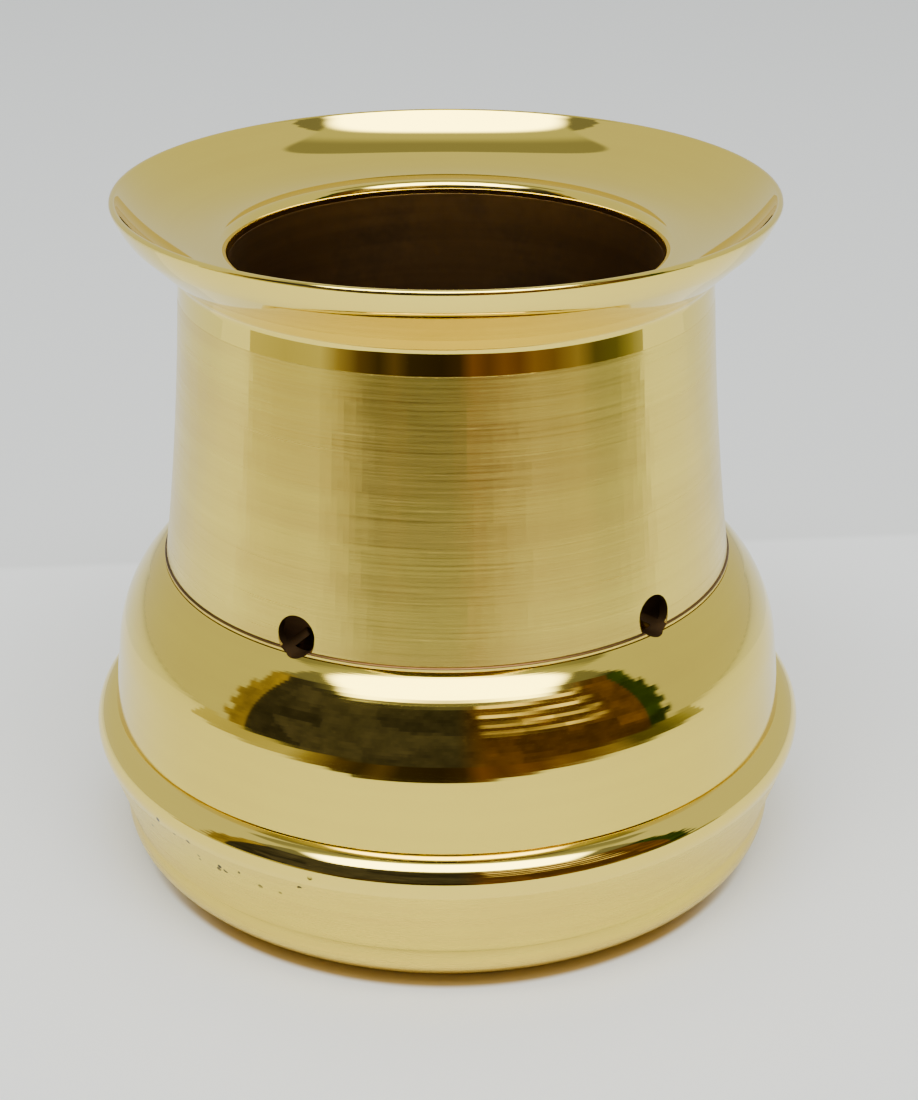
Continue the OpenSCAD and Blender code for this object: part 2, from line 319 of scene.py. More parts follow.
MARK_LENGTH = 45 * MM       # of a turning mark, round the axis
BAND_LENGTH = 90 * MM       # of a band of more worn marks
BAND_MARKS = 14             # turning marks across a band
CLOUD_SIZE = 22 * MM        # of the tarnish
SCRATCH_SIZE = 0.5 * MM
SCRATCH_DEPTH = 0.08        # depths of scratches and pits, against a turning mark's
PIT_DEPTH = 6.0
PIT_SPACING = 2.4 * MM
PIT_GROUP_SIZE = 5 * MM


def ring_vector(tree, pitch, length, turned_mesh):
    """Coordinates in which a noise draws turning marks: tight across them, long around the axis."""
    place = object_place(tree)
    x, y, z = split(tree, place)
    if turned_mesh:
        marks = add(tree, "ShaderNodeUVMap", uv_map="turned")
        across = split(tree, marks.outputs["UV"])["Y"]
    else:
        flat = add(tree, "ShaderNodeVectorMath", {0: place, 1: (1, 1, 0)}, operation="MULTIPLY")
        reach = add(tree, "ShaderNodeVectorMath", {0: flat.outputs[0]}, operation="LENGTH")
        across = total(tree, reach.outputs["Value"], z)
    node = add(tree, "ShaderNodeCombineXYZ", {
        "X": product(tree, x, 1 / length),
        "Y": product(tree, y, 1 / length),
        "Z": product(tree, across, 1 / pitch),
    })
    return node.outputs[0]


def brass(name, roughness, turning, depth, tarnish, pitch=0.2 * MM, colour=BRASS, stain=TARNISH,
          turned_mesh=True, anisotropic=0.0, pitted=False):
    """Brass with turning marks, a little uneven tarnish and fine wiping scratches."""
    material, tree = new_material(name)
    surface = tree.nodes["Principled BSDF"]
    place = object_place(tree)
    rings = noise(tree, ring_vector(tree, pitch, MARK_LENGTH, turned_mesh), 1.0, detail=4.0, roughness=0.65)
    bands = noise(tree, ring_vector(tree, BAND_MARKS * pitch, BAND_LENGTH, turned_mesh), 1.0, detail=2.0)
    clouds = noise(tree, place, 1 / CLOUD_SIZE, detail=5.0, roughness=0.55)
    scratches = noise(tree, place, 1 / SCRATCH_SIZE, detail=2.0)
    stained = product(tree, ramped(tree, clouds, low=0.48, high=0.72), tarnish)
    worn = product(tree, ramped(tree, bands, low=0.35, high=0.65), 0.35 * turning)
    base = mixed(tree, maths(tree, "ADD", stained, worn, clamp=True), rgb(*colour), rgb(*stain))
    relief = total(tree, product(tree, rings, turning), product(tree, scratches, SCRATCH_DEPTH))
    if pitted:
        pits = casting_pits(tree, place)
        base = mixed(tree, pits, base, rgb(*PIT_BLACK))
        relief = maths(tree, "SUBTRACT", relief, product(tree, pits, PIT_DEPTH))
    tree.links.new(base, surface.inputs["Base Color"])
    surface.inputs["Metallic"].default_value = 1.0
    grain = product(tree, maths(tree, "SUBTRACT", rings, 0.5), 0.3 * turning)
    rough_here = total(tree, grain, roughness, product(tree, stained, 0.15))
    tree.links.new(rough_here, surface.inputs["Roughness"])
    if anisotropic:
        brush_around(tree, surface, anisotropic)
    bumped(tree, surface, relief, depth)
    return material


def brush_around(tree, surface, anisotropic):
    """Draws highlights out across marks that run round the axis."""
    surface.inputs["Anisotropic"].default_value = anisotropic
    surface.inputs["Anisotropic Rotation"].default_value = 0.25
    around = add(tree, "ShaderNodeTangent", direction_type="RADIAL", axis="Z")
    tree.links.new(around.outputs[0], surface.inputs["Tangent"])


def casting_pits(tree, place):
    """Small dark pores, in a patch on the left of the front where bowl and bead meet."""
    cells = add(tree, "ShaderNodeTexVoronoi", {"Vector": place, "Scale": 1 / PIT_SPACING, "Randomness": 1.0})
    pores = ramped(tree, cells.outputs["Distance"], low=0.22, high=0.15)
    some = ramped(tree, noise(tree, place, 1 / PIT_GROUP_SIZE, detail=1.0), low=0.52, high=0.56)
    x, y, z = split(tree, place)
    left = ramped(tree, x, low=-6 * MM, high=-14 * MM)
    front = ramped(tree, y, low=-15 * MM, high=-25 * MM)
    over = ramped(tree, z, low=15 * MM, high=17 * MM)
    under = ramped(tree, z, low=23 * MM, high=21 * MM)
    return product(tree, pores, some, left, front, over, under)


mirror_brass = brass("mirror_brass", 0.035, turning=0.15, depth=0.003 * MM, tarnish=0.05)
bead_brass = brass("bead_brass", 0.04, turning=0.15, depth=0.003 * MM, tarnish=0.05, pitted=True)
turned_brass = brass("turned_brass", 0.23, turning=0.9, depth=0.007 * MM, tarnish=0.10, pitch=0.42 * MM,
                     anisotropic=0.85)
dome_brass = brass("dome_brass", 0.055, turning=0.3, depth=0.002 * MM, tarnish=0.08, colour=DEEP_BRASS,
                   anisotropic=0.3)
satin_brass = brass("satin_brass", 0.28, turning=0.7, depth=0.003 * MM, tarnish=0.12, colour=DEEP_BRASS,
                    anisotropic=0.5, pitted=True)
plain_brass = brass("plain_brass", 0.26, turning=0.6, depth=0.004 * MM, tarnish=0.35, turned_mesh=False)
burner_brass = brass("burner_brass", 0.24, turning=0.6, depth=0.004 * MM, tarnish=0.45, anisotropic=0.3)
# Painted shade: near-black brass for the insides, the air holes' walls, the throat liner and the baffle's
# corners.
painted_shade_brass = brass("painted_shade_brass", 0.42, turning=0.6, depth=0.008 * MM, tarnish=0.7,
                     colour=SHADE_DARK_BRASS, stain=SHADE_DARK_STAIN)


# ---- Steel and cotton -------------------------------------------------------

def steel(name, roughness):
    """Tinned steel: a little dulled and browned by the flame."""
    bright, browned = rgb(0.52, 0.51, 0.48), rgb(0.24, 0.19, 0.15)
    cloud_size, grain_size, grain_depth = 6 * MM, 0.3 * MM, 0.01 * MM
    material, tree = new_material(name)
    surface = tree.nodes["Principled BSDF"]
    place = object_place(tree)
    clouds = noise(tree, place, 1 / cloud_size, detail=5.0, roughness=0.6)
    base = mixed(tree, ramped(tree, clouds, low=0.45, high=0.7), bright, browned)
    tree.links.new(base, surface.inputs["Base Color"])
    surface.inputs["Metallic"].default_value = 1.0
    tree.links.new(total(tree, roughness, product(tree, clouds, 0.25)), surface.inputs["Roughness"])
    bumped(tree, surface, noise(tree, place, 1 / grain_size, detail=2.0), grain_depth)
    return material


def cotton_fibre():
    """Matt off-white cotton, a little browned by fuel."""
    clean, browned = rgb(0.80, 0.76, 0.66), rgb(0.48, 0.40, 0.29)
    cloud_size, fuzz_size, fuzz_depth = 9 * MM, 0.4 * MM, 0.25 * MM
    material, tree = new_material("cotton")
    surface = tree.nodes["Principled BSDF"]
    place = object_place(tree)
    clouds = noise(tree, place, 1 / cloud_size, detail=4.0)
    fuzz = noise(tree, place, 1 / fuzz_size, detail=6.0, roughness=0.75)
    tone = total(tree, ramped(tree, clouds, low=0.4, high=0.75, to_high=0.7), product(tree, fuzz, 0.25))
    tree.links.new(mixed(tree, tone, clean, browned), surface.inputs["Base Color"])
    surface.inputs["Roughness"].default_value = 0.95
    surface.inputs["Sheen Weight"].default_value = 0.4
    surface.inputs["Sheen Roughness"].default_value = 0.6
    surface.inputs["Subsurface Weight"].default_value = 0.1
    surface.inputs["Subsurface Scale"].default_value = 1 * MM
    bumped(tree, surface, fuzz, fuzz_depth, strength=0.8)
    return material


wire_steel = steel("wire_steel", 0.28)
sheet_steel = steel("sheet_steel", 0.32)
cotton = cotton_fibre()


def wear(obj, material):
    """Gives obj's mesh its one material."""
    obj.data.materials.clear()
    obj.data.materials.append(material)


def dress(node, material):
    """Gives a CAD node, which keeps its shape, a better material."""
    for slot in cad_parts[node].material_slots:
        slot.material = material


# ---- Air holes --------------------------------------------------------------

AIR_HOLES = 5
AIR_HOLE_R = 3.25 * MM
AIR_HOLE_Z = BARREL_FOOT_Z + 2.1 * MM
AIR_HOLE_START = -119.2         # azimuth of the first, in degrees
AIR_HOLE_SIDES = 64
AIR_HOLE_TURNS = [Matrix.Rotation(math.radians(AIR_HOLE_START + 360 * k / AIR_HOLES), 3, "Z")
                  for k in range(AIR_HOLES)]
CUTTER_INSIDE = 7 * MM          # how far the cutters reach in and out from the barrel's foot
CUTTER_OUTSIDE = 2 * MM
EDGE_INSIDE = 0.2 * MM          # how far in from the foot's radius a hole's outer edge lies
WALL_REACH = 1.02 * AIR_HOLE_R  # how far from a hole's middle line its wall may lie
SAME_WAY = math.cos(math.radians(8))    # normals this near to each other belong to one surface
NEAREST_CORNERS = 12


def air_hole_cutter(broken_edge):
    """A peg in each air hole, which opens out past a broken edge."""
    flare = CUTTER_OUTSIDE + EDGE_INSIDE + broken_edge if broken_edge else 0.0
    stations = (
        (BARREL_FOOT_R - CUTTER_INSIDE, AIR_HOLE_R),
        (BARREL_FOOT_R - EDGE_INSIDE - broken_edge, AIR_HOLE_R),
        (BARREL_FOOT_R + CUTTER_OUTSIDE, AIR_HOLE_R + flare),
    )
    bm = bmesh.new()
    for turn in AIR_HOLE_TURNS:
        rings = []
        for reach, radius in stations:
            circle = arc((0, AIR_HOLE_Z), radius, start=0, end=360, steps=AIR_HOLE_SIDES)[:-1]
            rings.append([bm.verts.new(turn @ Vector((reach, y, z))) for y, z, _ in circle])
        join_rings(bm, rings)
    bmesh.ops.recalc_face_normals(bm, faces=bm.faces)
    return linked("air_hole_cutter", bm)


def drill(obj, broken_edge=0.0):
    """Cuts the air holes through a turned obj, with their outer edges broken by that much."""
    plain = obj.data
    cutter = air_hole_cutter(broken_edge)
    cut = obj.modifiers.new("air_holes", "BOOLEAN")
    cut.operation, cut.object, cut.solver = "DIFFERENCE", cutter, "EXACT"
    bpy.context.view_layer.update()
    solid = bpy.data.meshes.new_from_object(obj.evaluated_get(bpy.context.evaluated_depsgraph_get()))
    obj.modifiers.clear()
    obj.data = solid
    bpy.data.objects.remove(cutter)
    keep_normals(solid, plain)


def keep_normals(mesh, plain):
    """Gives a drilled mesh the shading of plain, the turned mesh before the drill.

    A corner of a drilled face takes the best of the nearest normals of the plain mesh, if
    it agrees with the face's own; otherwise it belongs to a hole and keeps its own.
    """
    corners = KDTree(len(plain.loops))
    for loop in plain.loops:
        corners.insert(plain.vertices[loop.vertex_index].co, loop.index)
    corners.balance()
    normals = []
    for polygon in mesh.polygons:
        polygon.use_smooth = True
        for vertex in polygon.vertices:
            closest, best = polygon.normal.copy(), SAME_WAY
            for _, loop, _ in corners.find_n(mesh.vertices[vertex].co, NEAREST_CORNERS):
                normal = plain.corner_normals[loop].vector
                if normal.dot(polygon.normal) > best:
                    closest, best = normal.copy(), normal.dot(polygon.normal)
            normals.append(closest)
    mesh.normals_split_custom_set(normals)


def line_inside(obj, material):
    """Gives the air holes' walls, and the faces that look towards the axis, another material: the painted
    shade inside them.
    """
    obj.data.materials.append(material)
    for polygon in obj.data.polygons:
        outward = Vector((polygon.center.x, polygon.center.y, 0)).normalized()
        if polygon.normal.dot(outward) < -0.3 or walls_air_hole(polygon):
            polygon.material_index = 1


def walls_air_hole(polygon):
    """Whether a face is in an air hole's wall: close to the hole's middle line, and looking at it."""
    for turn in AIR_HOLE_TURNS:
        back = turn.transposed()
        place, looks = back @ polygon.center, back @ polygon.normal
        off_middle = Vector((place.y, place.z - AIR_HOLE_Z))
        if place.x > 0 and off_middle.length < WALL_REACH:
            return off_middle.dot(Vector((looks.y, looks.z))) < -0.9 * off_middle.length
    return False


# ---- Housing ----------------------------------------------------------------

COLLAR_SEAM_R = 42.85 * MM      # where collar and barrel meet
MOUTH_R = LINER_R - 0.8 * MM
MOUTH_Z = COLLAR_FOOT_Z + 7.4 * MM
MOUTH_EDGE_R = 1.6 * MM
LIP_EDGE_R = 0.55 * MM


def make_collar():
    """A spigot inside the barrel, a short neck, and a funnel with a thin rolled lip."""
    spigot_r, spigot_foot_z = 41.2 * MM, COLLAR_FOOT_Z - 3 * MM
    neck = (42.66 * MM, COLLAR_FOOT_Z + 3.95 * MM)
    neck_rounding = 1.5 * MM
    under_lip = (LIP_R - 2.5 * MM, LIP_Z - 5 * MM)
    under_bulge, funnel_bulge = -0.2 * MM, 2.05 * MM
    lip = arc((LIP_R - LIP_EDGE_R, LIP_Z - LIP_EDGE_R), LIP_EDGE_R, start=-20, end=144, steps=14)
    mouth = arc((MOUTH_R + MOUTH_EDGE_R, MOUTH_Z - MOUTH_EDGE_R), MOUTH_EDGE_R, start=85, end=180, steps=14)
    corners = [
        (spigot_r, spigot_foot_z, EASED),
        (spigot_r, COLLAR_FOOT_Z, SHARP),
        (COLLAR_SEAM_R, COLLAR_FOOT_Z, CRISP),
        (*neck, neck_rounding),
        (*under_lip, SHARP),
        *sweep(under_lip, lip[0][:2], under_bulge, steps=10),
        *lip,
        *sweep(lip[-1][:2], mouth[0][:2], funnel_bulge, steps=40),
        *mouth,
        (MOUTH_R, LINER_TOP_Z, FINE),
        (LINER_R, LINER_TOP_Z, SHARP),
        (LINER_R, spigot_foot_z, SHARP),
    ]
    collar = turned("mirror_collar", corners)
    wear(collar, mirror_brass)
    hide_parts("flared_collar")
    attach(collar, "housing")


def make_liner():
    """A plain tube in the throat, dark with painted shade."""
    liner_foot_z = foot_z("throat_liner")
    corners = [
        (LINER_R, liner_foot_z, BROKEN),
        (LINER_R, LINER_TOP_Z, BROKEN),
        (MOUTH_R, LINER_TOP_Z, BROKEN),
        (MOUTH_R, liner_foot_z, BROKEN),
    ]
    liner = turned("shade_dark_liner", corners)
    wear(liner, painted_shade_brass)
    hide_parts("throat_liner")
    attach(liner, "housing")


def make_barrel():
    """A tapered tube with very slightly hollow sides, and air holes just over its foot."""
    wall = 1.6 * MM
    waist = 0.46 * MM
    top = (COLLAR_SEAM_R, COLLAR_FOOT_Z)
    foot = (BARREL_FOOT_R, BARREL_FOOT_Z)
    outside = sweep(foot, top, waist, steps=10)
    inside = [(r - wall, z, SHARP) for r, z, _ in reversed(outside)]
    corners = [
        (*foot, BROKEN),
        *outside,
        (*top, CRISP),
        (top[0] - wall, top[1], BROKEN),
        *inside,
        (foot[0] - wall, foot[1], BROKEN),
    ]
    barrel = turned("turned_barrel", corners)
    drill(barrel, broken_edge=0.15 * MM)
    wear(barrel, turned_brass)
    line_inside(barrel, painted_shade_brass)
    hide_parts("barrel")
    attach(barrel, "housing")


def make_baffle():
    """The disc that the barrel stands on; only its edge shows, bright between two dark lines of painted
    shade on its rounded corners.
    """
    bore_r = 35 * MM
    edge_r = outer_r("air_baffle") - 0.25 * MM
    corners = [
        (bore_r, SHOULDER_TOP_Z, BROKEN),
        (edge_r, SHOULDER_TOP_Z, ROLLED),
        (edge_r, BARREL_FOOT_Z, SOFT),
        (bore_r, BARREL_FOOT_Z, BROKEN),
    ]
    baffle = turned("air_baffle_disc", corners)
    drill(baffle)
    wear(baffle, plain_brass)
    # Painted shade: the hidden middle, the rounded corners and the holes' walls take the dark material.
    baffle.data.materials.append(painted_shade_brass)
    for polygon in baffle.data.polygons:
        reach = math.hypot(polygon.center.x, polygon.center.y)
        if reach < edge_r - MM or abs(polygon.normal.z) > 0.35 or walls_air_hole(polygon):
            polygon.material_index = 1
    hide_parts("air_baffle")
    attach(baffle, "housing")


def make_dome():
    """A rounded shoulder that runs into a nearly upright skirt, hollow inside."""
    wall = 2.2 * MM
    start = (BARREL_FOOT_R + 0.4 * MM, SHOULDER_TOP_Z)
    bend = (50.45 * MM, SHOULDER_TOP_Z - 2.35 * MM)
    turn = (56 * MM, SHOULDER_TOP_Z - 14.4 * MM)
    foot = (SHOULDER_FOOT_R, SHOULDER_FOOT_Z)
    side_bulge, shoulder_bulge = -0.99 * MM, -0.15 * MM
    chamfer, chamfer_lean = 0.3 * MM, 0.04 * MM
    bore_r, bore_depth = 45 * MM, 1 * MM
    hollow = (48.6 * MM, SHOULDER_TOP_Z - 3.4 * MM)
    corners = [
        (foot[0] - wall, foot[1], BROKEN),
        (foot[0] - chamfer, foot[1], SHARP),
        (foot[0] - chamfer_lean, foot[1] + chamfer, BROKEN),
        (*turn, SHARP),
        *sweep(turn, bend, side_bulge, steps=28),
        (*bend, SHARP),
        *sweep(bend, start, shoulder_bulge, steps=12),
        (*start, SEAM),
        (bore_r, start[1], SHARP),
        (bore_r, start[1] - bore_depth, SHARP),
        (*hollow, SHARP),
        (turn[0] - wall, turn[1], SHARP),
    ]
    dome = turned("turned_shoulder", corners)
    drill(dome)
    wear(dome, dome_brass)
    line_inside(dome, painted_shade_brass)
    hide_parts("shoulder_dome")
    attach(dome, "housing")


# ---- Base -------------------------------------------------------------------

BOWL_SEAM_R = 60.35 * MM


def make_bead():
    """A ring with a rounded crest, stepped inside to sit on the bowl's rim."""
    crest_r = 3.9 * MM
    crest = (BEAD_R - crest_r, BEAD_FOOT_Z + 1.8 * MM)
    foot_r = BOWL_SEAM_R + 0.1 * MM
    top_r = 57.3 * MM
    seat_r, seat_z = 57.03 * MM, BEAD_FOOT_Z + 2.9 * MM
    bore_r = 55.3 * MM
    corners = [
        (seat_r, BEAD_FOOT_Z, FINE),
        (foot_r, BEAD_FOOT_Z, FINE),
        *arc(crest, crest_r, start=-15, end=76, steps=36),
        (top_r, BEAD_TOP_Z, BROKEN),
        (bore_r, BEAD_TOP_Z, BROKEN),
        (bore_r, seat_z, SHARP),
        (seat_r, seat_z, SHARP),
    ]
    bead = turned("mirror_bead", corners)
    wear(bead, bead_brass)
    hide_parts("bead_ring")
    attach(bead, "base")


def make_bowl():
    """A bowl on a flat foot ring, with a rim that stands inside the bead ring."""
    wall = 2.4 * MM
    rim_r = 57 * MM
    foot_edge_r = 1.2 * MM
    foot_edge = (FOOT_R - foot_edge_r, foot_edge_r)
    side_foot = (FOOT_R + 0.18 * MM, foot_edge_r)
    side_turn = (56.3 * MM, 8 * MM)
    side_bulge = -1.6 * MM
    recess, recess_rounding = 1.2 * MM, 0.4 * MM
    recess_r, foot_ring_r = FOOT_R - 8 * MM, FOOT_R - 7 * MM
    floor_z, cove_z, cove_r = 4 * MM, 10 * MM, 6 * MM
    inside_r = side_turn[0] - wall
    floor_r = inside_r - cove_r
    corners = [
        (AXIS_R, recess, SHARP),
        (recess_r, recess, recess_rounding),
        (foot_ring_r, 0, SOFT),
        (foot_edge[0], 0, SHARP),
        *arc(foot_edge, foot_edge_r, start=-80, end=-10, steps=10),
        (*side_foot, SHARP),
        *sweep(side_foot, side_turn, side_bulge, steps=20),
        (*side_turn, SHARP),
        (BOWL_SEAM_R, BEAD_FOOT_Z, SEAM),
        (rim_r, BEAD_FOOT_Z, SHARP),
        (rim_r, BOWL_RIM_Z, SOFT),
        (rim_r - wall, BOWL_RIM_Z, SOFT),
        (rim_r - wall, BEAD_FOOT_Z, SHARP),
        (inside_r, cove_z, SHARP),
        *arc((floor_r, cove_z), cove_r, start=-10, end=-80, steps=12),
        (floor_r, floor_z, SHARP),
        (AXIS_R, floor_z, SHARP),
    ]
    bowl = turned("satin_bowl", corners)
    close_middle(bowl)
    wear(bowl, satin_brass)
    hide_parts("base_bowl")
    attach(bowl, "base")


# ---- Burner -----------------------------------------------------------------

OPENING_R = 22 * MM
GAUZE_R = outer_r("burner_gauze")
GAUZE_PITCH = 2.2 * MM
WIRE_R = 0.22 * MM
WIRE_GAP = 0.05 * MM            # between a wire's end and the gauze's edge
WIRE_SIDES = 8
WIRE_STEPS = 12                 # along a wire, for each mesh of the gauze
WIRE_LEAST_STEPS = 8


def make_cup():
    """A deep cup drawn from sheet."""
    sheet = 0.8 * MM
    bend_r = 3 * MM
    cup_r = outer_r("burner_cup")
    cup_foot_z, rim_z = foot_z("burner_cup"), top_z("burner_cup")
    corners = [
        (AXIS_R, cup_foot_z, SHARP),
        (cup_r, cup_foot_z, bend_r),
        (cup_r, rim_z, BROKEN),
        (cup_r - sheet, rim_z, BROKEN),
        (cup_r - sheet, cup_foot_z + sheet, bend_r - sheet),
        (AXIS_R, cup_foot_z + sheet, SHARP),
    ]
    cup = turned("drawn_cup", corners)
    close_middle(cup)
    wear(cup, burner_brass)
    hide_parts("burner_cup")
    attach(cup, "burner")


def make_burner_top():
    """A cap pressed over the cup, with a rolled edge and a lip turned down into the opening."""
    sheet = 0.7 * MM
    skirt_r, skirt_z = outer_r("burner_top"), foot_z("burner_top")
    cap_z = top_z("burner_top")
    under_z = cap_z - 2 * sheet
    lip_z = cap_z - 3.6 * MM
    corners = [
        (skirt_r, skirt_z, PRESSED),
        (skirt_r, cap_z, sheet),
        (OPENING_R, cap_z, sheet),
        (OPENING_R, lip_z, EASED),
        (OPENING_R + sheet, lip_z, EASED),
        (OPENING_R + sheet, under_z, EASED),
        (skirt_r - sheet, under_z, BROKEN),
        (skirt_r - sheet, skirt_z, PRESSED),
    ]
    top = turned("pressed_burner_top", corners)
    wear(top, burner_brass)
    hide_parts("burner_top")
    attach(top, "burner")


def tube(bm, points, radius, sides):
    """A closed round tube through points."""
    rings = []
    for i, point in enumerate(points):
        way = (points[min(i + 1, len(points) - 1)] - points[max(i - 1, 0)]).normalized()
        aside = way.cross(Vector((0, 0, 1)) if abs(way.z) < 0.9 else Vector((1, 0, 0))).normalized()
        over = aside.cross(way)
        ring = []
        for k in range(sides):
            angle = 2 * math.pi * k / sides
            ring.append(bm.verts.new(point + radius * (math.cos(angle) * aside + math.sin(angle) * over)))
        rings.append(ring)
    join_rings(bm, rings)


def wire_points(offset, sign, across):
    """Middle line of a wire, off the axis by an offset, that waves over and under those it crosses."""
    low, high = foot_z("burner_gauze"), top_z("burner_gauze")
    middle, rise = (low + high) / 2, (high - low) / 2 - WIRE_R
    half = math.sqrt(GAUZE_R ** 2 - offset ** 2) - WIRE_GAP
    steps = max(WIRE_LEAST_STEPS, round(WIRE_STEPS * half / GAUZE_PITCH))
    points = []
    for k in range(steps + 1):
        along = half * (2 * k / steps - 1)
        lift = middle + sign * rise * math.cos(math.pi * along / GAUZE_PITCH)
        points.append(Vector((offset, along, lift) if across else (along, offset, lift)))
    return points


def make_gauze():
    """Round wires woven over and under each other, cut to a circle."""
    bm = bmesh.new()
    count = math.floor(OPENING_R / GAUZE_PITCH)
    for across in (False, True):
        for i in range(-count, count + 1):
            sign = -1 if (i + across) % 2 else 1
            tube(bm, wire_points(i * GAUZE_PITCH, sign, across), WIRE_R, WIRE_SIDES)
    bmesh.ops.recalc_face_normals(bm, faces=bm.faces)
    gauze = linked("woven_gauze", bm)
    wear(gauze, wire_steel)
    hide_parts("burner_gauze")
    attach(gauze, "burner")


def make_gauze_ring():
    """Sheet folded to a channel that grips the gauze's edge."""
    sheet = 0.6 * MM
    fold = 0.45 * MM
    ring_r, back_r = outer_r("gauze_ring"), GAUZE_R + 0.3 * MM
    ring_foot, ring_top = foot_z("gauze_ring"), top_z("gauze_ring")
    corners = [
        (OPENING_R, ring_foot, ROLLED),
        (ring_r, ring_foot, fold),
        (ring_r, ring_top, fold),
        (OPENING_R, ring_top, ROLLED),
        (OPENING_R, ring_top - sheet, BROKEN),
        (back_r, ring_top - sheet, BROKEN),
        (back_r, ring_foot + sheet, BROKEN),
        (OPENING_R, ring_foot + sheet, BROKEN),
    ]
    ring = turned("folded_gauze_ring", corners)
    wear(ring, sheet_steel)
    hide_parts("gauze_ring")
    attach(ring, "burner")


# ---- Wadding ----------------------------------------------------------------

WADDING_R = outer_r("burner_wadding")
WADDING_FOOT_Z = foot_z("burner_wadding")
WADDING_TOP_Z = top_z("burner_wadding")
WADDING_EDGE_R = 3 * MM
WADDING_TURNS = 144
LUMP_SIZE = 5 * MM
LUMP_DEPTH = 1.2 * MM
LUMP_FALLOFF = 0.9              # how fast finer lumps lose height
LUMP_RATIO = 2.1                # of each size of lumps to the next finer one
LUMP_LEVELS = 4
FIBRES = 700
FIBRE_R = 0.045 * MM
FIBRE_SIDES = 4
FIBRE_STEPS = 5
FIBRE_STEP = 0.8 * MM
FIBRE_LIFT = 0.35 * MM          # most that a fibre rises in a step
FIBRE_WAVE = 1.2                # half waves along a fibre, so that its end dips again
FIBRE_SUNK = 1.1 * MM           # how far under the wadding's top a fibre starts
FIBRE_CURL = 0.7                # most that a fibre turns in a step, in radians


def wadding_outline():
    """Corners from near the axis at the foot, out and up the side, and in again at the top."""
    inner_r = WADDING_R - WADDING_EDGE_R
    low, high = WADDING_FOOT_Z + WADDING_EDGE_R, WADDING_TOP_Z - WADDING_EDGE_R
    foot_steps, side_steps, top_steps = 30, 12, 60
    return [
        *((WADDING_R * k / foot_steps, WADDING_FOOT_Z, SHARP) for k in range(1, foot_steps - 2)),
        *arc((inner_r, low), WADDING_EDGE_R, start=-75, end=0, steps=5),
        *((WADDING_R, low + (high - low) * k / side_steps, SHARP) for k in range(1, side_steps)),
        *arc((inner_r, high), WADDING_EDGE_R, start=0, end=90, steps=9),
        *((WADDING_R * k / top_steps, WADDING_TOP_Z, SHARP) for k in range(top_steps - 7, 0, -1)),
    ]


def lumpy(point):
    """The point sunk and drawn in a little by the wadding's lumps, more so towards the top."""
    lumps = fractal(point / LUMP_SIZE, LUMP_FALLOFF, LUMP_RATIO, LUMP_LEVELS) * 0.5 + 0.5
    height = (point.z - WADDING_FOOT_Z) / (WADDING_TOP_Z - WADDING_FOOT_Z)
    sunk = LUMP_DEPTH * min(max(lumps, 0), 1) * height
    return point - Vector((0, 0, sunk)) - 0.2 * sunk * point.normalized()


def make_wadding():
    """A pad of cotton packed into the cup: a lumpy top, and loose fibres standing on it."""
    outline = wadding_outline()
    bm = bmesh.new()
    foot_pole = bm.verts.new((0, 0, WADDING_FOOT_Z))
    top_pole = bm.verts.new((0, 0, WADDING_TOP_Z - LUMP_DEPTH / 2))
    rings = []
    for s in range(WADDING_TURNS):
        angle = 2 * math.pi * s / WADDING_TURNS
        points = [Vector((r * math.cos(angle), r * math.sin(angle), z)) for r, z, _ in outline]
        rings.append([bm.verts.new(lumpy(point)) for point in points])
    for s in range(WADDING_TURNS):
        here, there = rings[s], rings[(s + 1) % WADDING_TURNS]
        for low_here, high_here, low_there, high_there in zip(here, here[1:], there, there[1:]):
            bm.faces.new((low_here, high_here, high_there, low_there)).smooth = True
        bm.faces.new((foot_pole, here[0], there[0])).smooth = True
        bm.faces.new((here[-1], top_pole, there[-1])).smooth = True
    add_fibres(bm)
    bmesh.ops.recalc_face_normals(bm, faces=bm.faces)
    wadding = linked("cotton_wadding", bm)
    wear(wadding, cotton)
    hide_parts("burner_wadding")
    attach(wadding, "burner")


def add_fibres(bm):
    """Short curled fibres lying loosely on the wadding's top."""
    dice = random.Random(7)
    for _ in range(FIBRES):
        angle = dice.uniform(0, 2 * math.pi)
        spread = (WADDING_R - WADDING_EDGE_R) * math.sqrt(dice.random())
        foot = Vector((spread * math.cos(angle), spread * math.sin(angle), WADDING_TOP_Z - FIBRE_SUNK))
        heading = dice.uniform(0, 2 * math.pi)
        curl = dice.uniform(-FIBRE_CURL, FIBRE_CURL)
        points = [foot]
        for k in range(FIBRE_STEPS):
            lift = FIBRE_LIFT * math.sin(math.pi * (k + 0.5) / FIBRE_STEPS * FIBRE_WAVE)
            step = Vector((FIBRE_STEP * math.cos(heading), FIBRE_STEP * math.sin(heading), lift))
            points.append(points[-1] + step)
            heading += curl
        tube(bm, points, FIBRE_R, FIBRE_SIDES)


# ---- Floor ------------------------------------------------------------------

def make_floor():
    """A pale table, a little darker towards the back, with a painted shadow and painted golden light of the
    brass round the foot.
    """
    bm = bmesh.new()
    bmesh.ops.create_circle(bm, cap_ends=True, radius=4.0, segments=96)
    floor = linked("floor", bm)
    material, tree = new_material("pale_floor")
    surface = tree.nodes["Principled BSDF"]
    place = object_place(tree)
    x, y, _ = split(tree, place)
    pale = mixed(tree, noise(tree, place, 9.0), rgb(0.89, 0.91, 0.91), rgb(0.93, 0.95, 0.94))
    behind = total(tree, y, product(tree, x, -0.08))
    pale = mixed(tree, ramped(tree, behind, low=0.100, high=0.104), pale, rgb(0.78, 0.80, 0.79))
    # Painted shadow and painted golden light thrown by the brass, round the front of the foot.
    pale = mixed(tree, painted_foot_shadow_and_glow(tree, place, y), pale, rgb(0.40, 0.26, 0.07))
    tree.links.new(pale, surface.inputs["Base Color"])
    surface.inputs["Roughness"].default_value = 0.6
    floor.data.materials.append(material)


